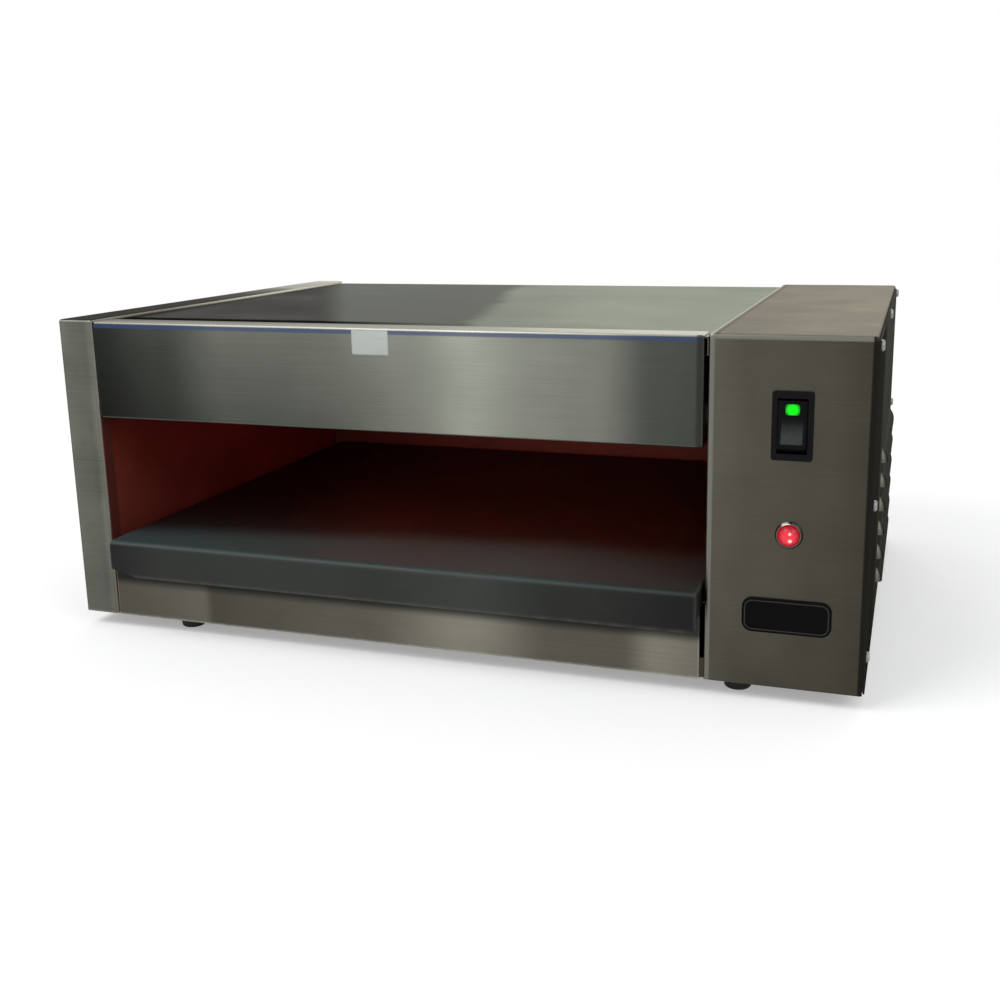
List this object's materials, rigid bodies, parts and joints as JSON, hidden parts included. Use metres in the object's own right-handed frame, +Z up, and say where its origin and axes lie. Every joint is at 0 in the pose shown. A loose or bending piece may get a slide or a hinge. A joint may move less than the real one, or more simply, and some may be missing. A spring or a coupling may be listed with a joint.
{
  "type": "quartz finishing cabinet",
  "caption": "Low counter-top heating cabinet: open bay under a hood of quartz heaters, dark sliding tray, side control housing with rocker switch and pilot lamp.",
  "frame": {"origin": "middle of the whole outline, on the surface that the feet stand on", "axes": "+X across the width towards the control housing, -Y towards the user, +Z up"},
  "size_m": [0.655, 0.4844, 0.264],
  "materials": {
    "casing_steel": "brushed stainless sheet with a fine grain, slightly worn bends",
    "housing_steel": "brushed stainless sheet, warm grey",
    "bay_steel": "plain stainless sheet, heat tinted inside the bay",
    "tray_coating": "dark satin coated steel",
    "reflector_aluminium": "bright reflector sheet",
    "quartz": "clear quartz tube",
    "heater_wire": "resistance wire, red hot in use",
    "ceramic": "unglazed white steatite",
    "brass": "plated brass",
    "zinc": "zinc plated",
    "bright_wire": "bright stainless wire",
    "insulation_board": "pressed ceramic fibre board",
    "black_plastic": "moulded black plastic",
    "green_lens": "clear green window, lit",
    "red_lens": "clear red dome, lit",
    "chrome": "polished ring",
    "gland_nylon": "moulded nylon",
    "foot_rubber": "moulded rubber",
    "black_plate": "bare black plate",
    "lead_sleeve": "glass braid sleeve"
  },
  "bodies": {
    "cabinet": {"badge_plate": "black_plate", "base_pan": "casing_steel", "cavity_back_wall": "bay_steel", "ceramic_ends_left": "ceramic", "ceramic_ends_right": "ceramic", "control_housing": "housing_steel", "cord_gland": "gland_nylon", "deck_shelf": "bay_steel", "earth_nut": "brass", "earth_stud": "brass", "element_guard": "bright_wire", "element_leads": "lead_sleeve", "foot_front_left": "foot_rubber", "foot_front_right": "foot_rubber", "foot_nuts": "zinc", "foot_rear_left": "foot_rubber", "foot_rear_right": "foot_rubber", "foot_screws": "zinc", "front_fascia": "casing_steel", "gland_dome_nut": "gland_nylon", "gland_lock_nut": "gland_nylon", "guard_ledge": "bay_steel", "heater_coil_1": "heater_wire", "heater_coil_2": "heater_wire", "heater_coil_3": "heater_wire", "heater_coil_4": "heater_wire", "hood_insulation": "insulation_board", "left_end_cap": "casing_steel", "left_inner_wall": "bay_steel", "link_straps": "brass", "lower_front_panel": "casing_steel", "pilot_bezel": "chrome", "pilot_body": "black_plastic", "pilot_lens": "red_lens", "pilot_nut": "zinc", "quartz_tube_1": "quartz", "quartz_tube_2": "quartz", "quartz_tube_3": "quartz", "quartz_tube_4": "quartz", "rear_panel": "casing_steel", "rear_panel_screws": "zinc", "reflector": "reflector_aluminium", "right_inner_wall": "bay_steel", "side_cover": "housing_steel", "side_cover_screws": "zinc", "switch_housing": "black_plastic", "switch_terminals": "brass", "terminal_block": "black_plastic", "terminal_block_screws": "brass", "terminal_nuts": "zinc", "top_cover": "casing_steel", "top_cover_screws": "zinc"},
    "sliding_tray": {"tray": "tray_coating"},
    "rocker_switch": {"rocker": "black_plastic", "rocker_lens": "green_lens"}
  },
  "joints": [
    {"name": "tray_slide", "type": "slide", "parent": "cabinet", "child": "sliding_tray", "axis": [0, -1, 0], "range_m": [-0.0065, 0.42]},
    {"name": "rocker_hinge", "type": "hinge", "parent": "cabinet", "child": "rocker_switch", "pos_m": [0.2675, -0.21875, 0.202], "axis": [1, 0, 0], "range_deg": [0, 20]}
  ]
}
